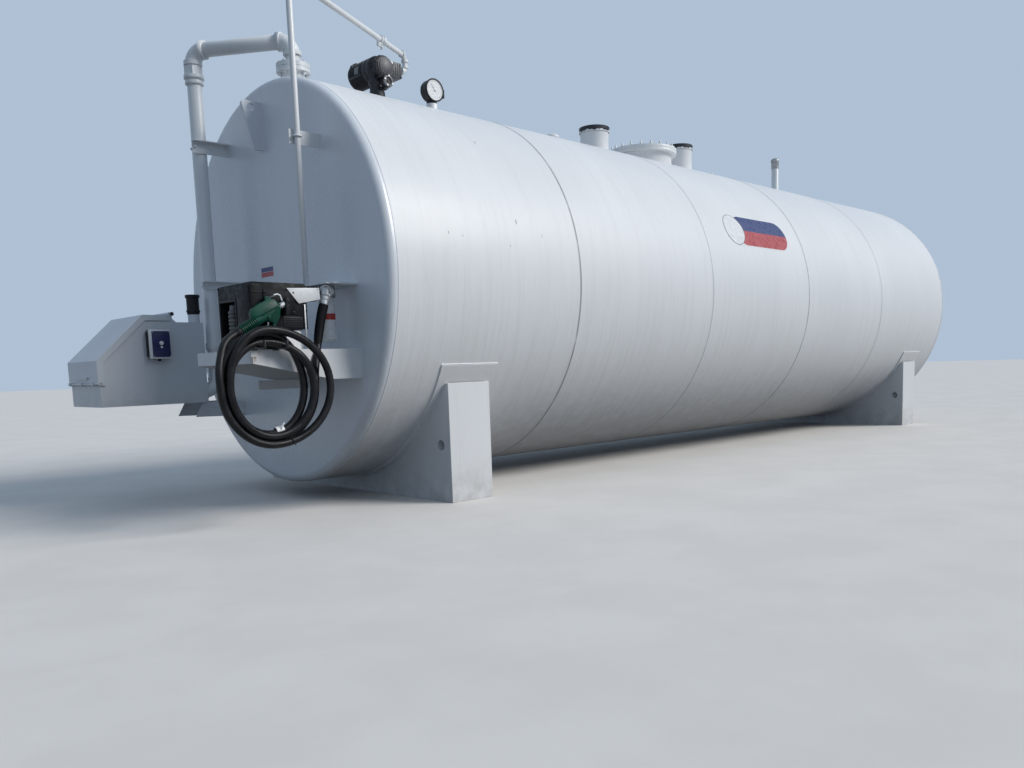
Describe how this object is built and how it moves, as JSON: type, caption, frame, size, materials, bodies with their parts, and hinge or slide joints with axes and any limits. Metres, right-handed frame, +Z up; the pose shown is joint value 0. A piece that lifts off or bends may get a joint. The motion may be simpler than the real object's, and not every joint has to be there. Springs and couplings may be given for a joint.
{
  "type": "horizontal aboveground fuel tank with dispenser",
  "caption": "Horizontal steel cylinder tank with flat flanged ends on two saddles, top fittings, sloped fill box with hinged lid, and a shelf with dispenser, filter and coiled hose.",
  "frame": {"origin": "on the floor under the middle of the saddle at the dispenser end", "axes": "+X along the tank away from the dispenser end, +Y across it towards the fill box, +Z up"},
  "size_m": [8.7011, 2.444, 2.94],
  "materials": {
    "tank_paint": "semi-gloss",
    "head_paint": "semi-gloss",
    "saddle_paint": "semi-gloss, dusty",
    "pipe_paint": "semi-gloss",
    "box_paint": "semi-gloss",
    "lid_paint": "semi-gloss",
    "shelf_paint": "semi-gloss, dusty",
    "alarm_blue": "satin",
    "cap_black": "matte",
    "pump_black": "satin",
    "gauge_black": "satin",
    "galvanised": "galvanised",
    "cabinet_black": "satin",
    "meter_steel": "ribbed",
    "fitting_metal": "cast",
    "filter_white": "gloss",
    "hose_rubber": "satin",
    "nozzle_green": "gloss"
  },
  "bodies": {
    "tank": {"shell": "tank_paint", "near_head": "head_paint", "far_head": "tank_paint", "near_saddle": "saddle_paint", "far_saddle": "saddle_paint", "near_wear_plate": "tank_paint", "far_wear_plate": "tank_paint", "near_lug": "tank_paint", "far_lug": "tank_paint", "fill_flange": "pipe_paint", "fill_top_elbow": "pipe_paint", "fill_cross_pipe": "pipe_paint", "fill_side_elbow": "pipe_paint", "fill_union": "pipe_paint", "fill_drop_pipe": "pipe_paint", "fill_brackets": "pipe_paint", "fill_box": "box_paint", "fill_box_support": "box_paint", "alarm_box": "alarm_blue", "fill_box_cap": "cap_black", "product_pipe": "pipe_paint", "product_elbow": "pipe_paint", "product_run": "pipe_paint", "line_union": "pipe_paint", "pump_elbow": "pipe_paint", "product_brackets": "pipe_paint", "pump_body": "pump_black", "pump_motor": "pump_black", "gauge_neck": "pipe_paint", "gauge": "gauge_black", "small_cap": "pipe_paint", "vent_a": "pipe_paint", "vent_b": "pipe_paint", "manway_neck": "pipe_paint", "manway_cover": "pipe_paint", "top_plug": "pipe_paint", "vent_riser": "pipe_paint", "vent_riser_cap": "galvanised", "shelf": "shelf_paint", "shelf_arm": "shelf_paint", "cabinet": "cabinet_black", "meter": "meter_steel", "nozzle_rest": "cabinet_black", "hose_hooks": "galvanised", "filter_head": "fitting_metal", "filter": "filter_white", "hose_swivel": "fitting_metal", "hose_lead": "hose_rubber", "hose_tail": "hose_rubber", "hose_coil": "hose_rubber", "nozzle": "nozzle_green"},
    "lid": {"fill_box_lid": "lid_paint"}
  },
  "joints": [
    {"name": "lid_hinge", "type": "hinge", "parent": "tank", "child": "lid", "pos_m": [-1.077, 0.746, 1.176], "axis": [0, 1, 0], "range_deg": [0, 95]}
  ]
}
